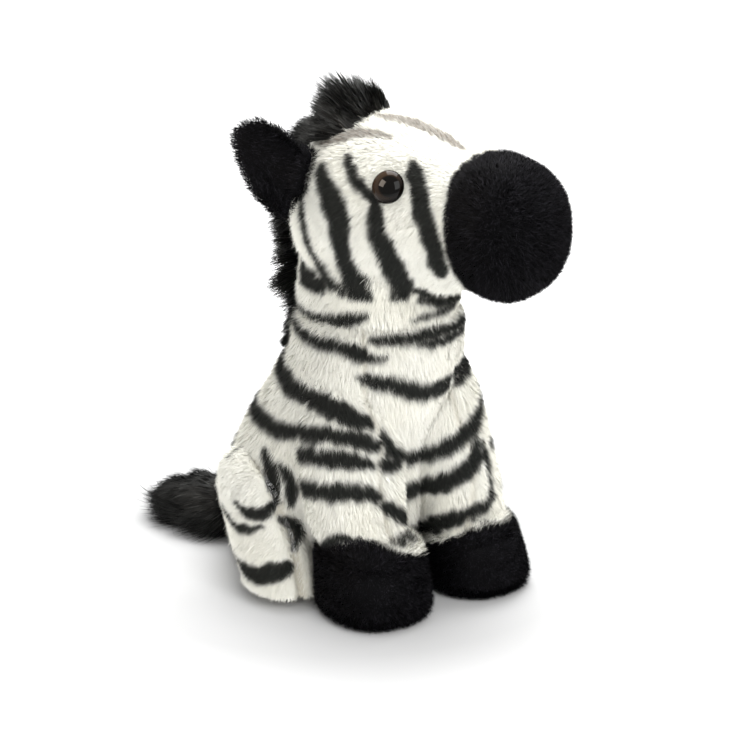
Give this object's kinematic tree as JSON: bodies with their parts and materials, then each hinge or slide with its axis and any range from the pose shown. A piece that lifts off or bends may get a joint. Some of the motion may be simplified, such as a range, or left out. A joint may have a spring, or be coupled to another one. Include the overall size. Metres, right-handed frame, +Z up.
{
  "type": "plush zebra",
  "caption": "Seated plush zebra with a weighted seat, upright forelegs, turning head, folding ears, striped pile cover, black hooves and muzzle, upright mane and a brush tail.",
  "frame": {"origin": "centre of the flat underside of the seat, on the surface the toy sits on", "axes": "+Z up, the zebra faces -Y, its right side is at -X"},
  "size_m": [0.143, 0.227, 0.2422],
  "materials": {
    "ivory_plush": "deep soft plush pile, ivory with printed charcoal stripes",
    "black_plush": "short dense black plush pile",
    "charcoal_pile": "long loose charcoal pile",
    "fibre_fill": "polyester fibre filling",
    "pellet_cloth": "plain woven inner bag of plastic pellets",
    "eye_plastic": "clear glossy dome over a dark brown iris and black pupil",
    "washer_plastic": "white moulded locking washer"
  },
  "bodies": {
    "torso": {"torso_cover": "ivory_plush", "seat_panel": "ivory_plush", "pellet_bag": "pellet_cloth", "torso_stuffing": "fibre_fill", "mane_neck": "charcoal_pile"},
    "neck": {"neck_stuffing": "fibre_fill"},
    "head": {"head_cover": "ivory_plush", "head_stuffing": "fibre_fill", "muzzle_cover": "black_plush", "eye_right": "eye_plastic", "eye_left": "eye_plastic", "eye_washer_right": "washer_plastic", "eye_washer_left": "washer_plastic", "mane_head": "charcoal_pile"},
    "right_ear": {"ear_right": "black_plush", "ear_lining_right": "black_plush"},
    "left_ear": {"ear_left": "black_plush", "ear_lining_left": "black_plush"},
    "right_foreleg": {"foreleg_right": "ivory_plush", "fore_hoof_right": "black_plush", "foreleg_stuffing_right": "fibre_fill"},
    "left_foreleg": {"foreleg_left": "ivory_plush", "fore_hoof_left": "black_plush", "foreleg_stuffing_left": "fibre_fill"},
    "right_hind_leg": {"hind_leg_right": "ivory_plush", "hind_hoof_right": "black_plush", "hind_leg_stuffing_right": "fibre_fill"},
    "left_hind_leg": {"hind_leg_left": "ivory_plush", "hind_hoof_left": "black_plush", "hind_leg_stuffing_left": "fibre_fill"},
    "tail": {"tail": "charcoal_pile"}
  },
  "joints": [
    {"name": "head_turn", "type": "hinge", "parent": "torso", "child": "neck", "pos_m": [0, -0.035, 0.131], "axis": [0, 0, 1], "range_deg": [-25, 25], "stiffness_Nm_per_rad": 0.4},
    {"name": "head_nod", "type": "hinge", "parent": "neck", "child": "head", "pos_m": [0, -0.035, 0.131], "axis": [0.9613, 0.2756, 0], "range_deg": [-10, 10], "stiffness_Nm_per_rad": 1.2},
    {"name": "right_ear_fold", "type": "hinge", "parent": "head", "child": "right_ear", "pos_m": [-0.04136, -0.03415, 0.2051], "axis": [-0.4063, -0.1165, -0.9063], "range_deg": [-15, 30], "stiffness_Nm_per_rad": 0.03},
    {"name": "left_ear_fold", "type": "hinge", "parent": "head", "child": "left_ear", "pos_m": [0.03462, -0.01237, 0.2051], "axis": [0.4063, 0.1165, -0.9063], "range_deg": [0, 35], "stiffness_Nm_per_rad": 0.03},
    {"name": "right_foreleg_swing", "type": "hinge", "parent": "torso", "child": "right_foreleg", "pos_m": [0, -0.02, 0.12], "axis": [-1, 0, 0], "range_deg": [0, 30], "stiffness_Nm_per_rad": 0.5},
    {"name": "left_foreleg_swing", "type": "hinge", "parent": "torso", "child": "left_foreleg", "pos_m": [0, -0.02, 0.12], "axis": [-1, 0, 0], "range_deg": [0, 30], "stiffness_Nm_per_rad": 0.5},
    {"name": "right_hind_leg_splay", "type": "hinge", "parent": "torso", "child": "right_hind_leg", "pos_m": [-0.039, 0.023, 0.03], "axis": [0, 0, -1], "range_deg": [0, 14], "stiffness_Nm_per_rad": 0.4},
    {"name": "left_hind_leg_splay", "type": "hinge", "parent": "torso", "child": "left_hind_leg", "pos_m": [0.039, 0.023, 0.03], "axis": [0, 0, 1], "range_deg": [0, 14], "stiffness_Nm_per_rad": 0.4},
    {"name": "tail_swing", "type": "hinge", "parent": "torso", "child": "tail", "pos_m": [-0.003, 0.063, 0.016], "axis": [0, 0, 1], "range_deg": [-18, 18], "stiffness_Nm_per_rad": 0.05}
  ]
}
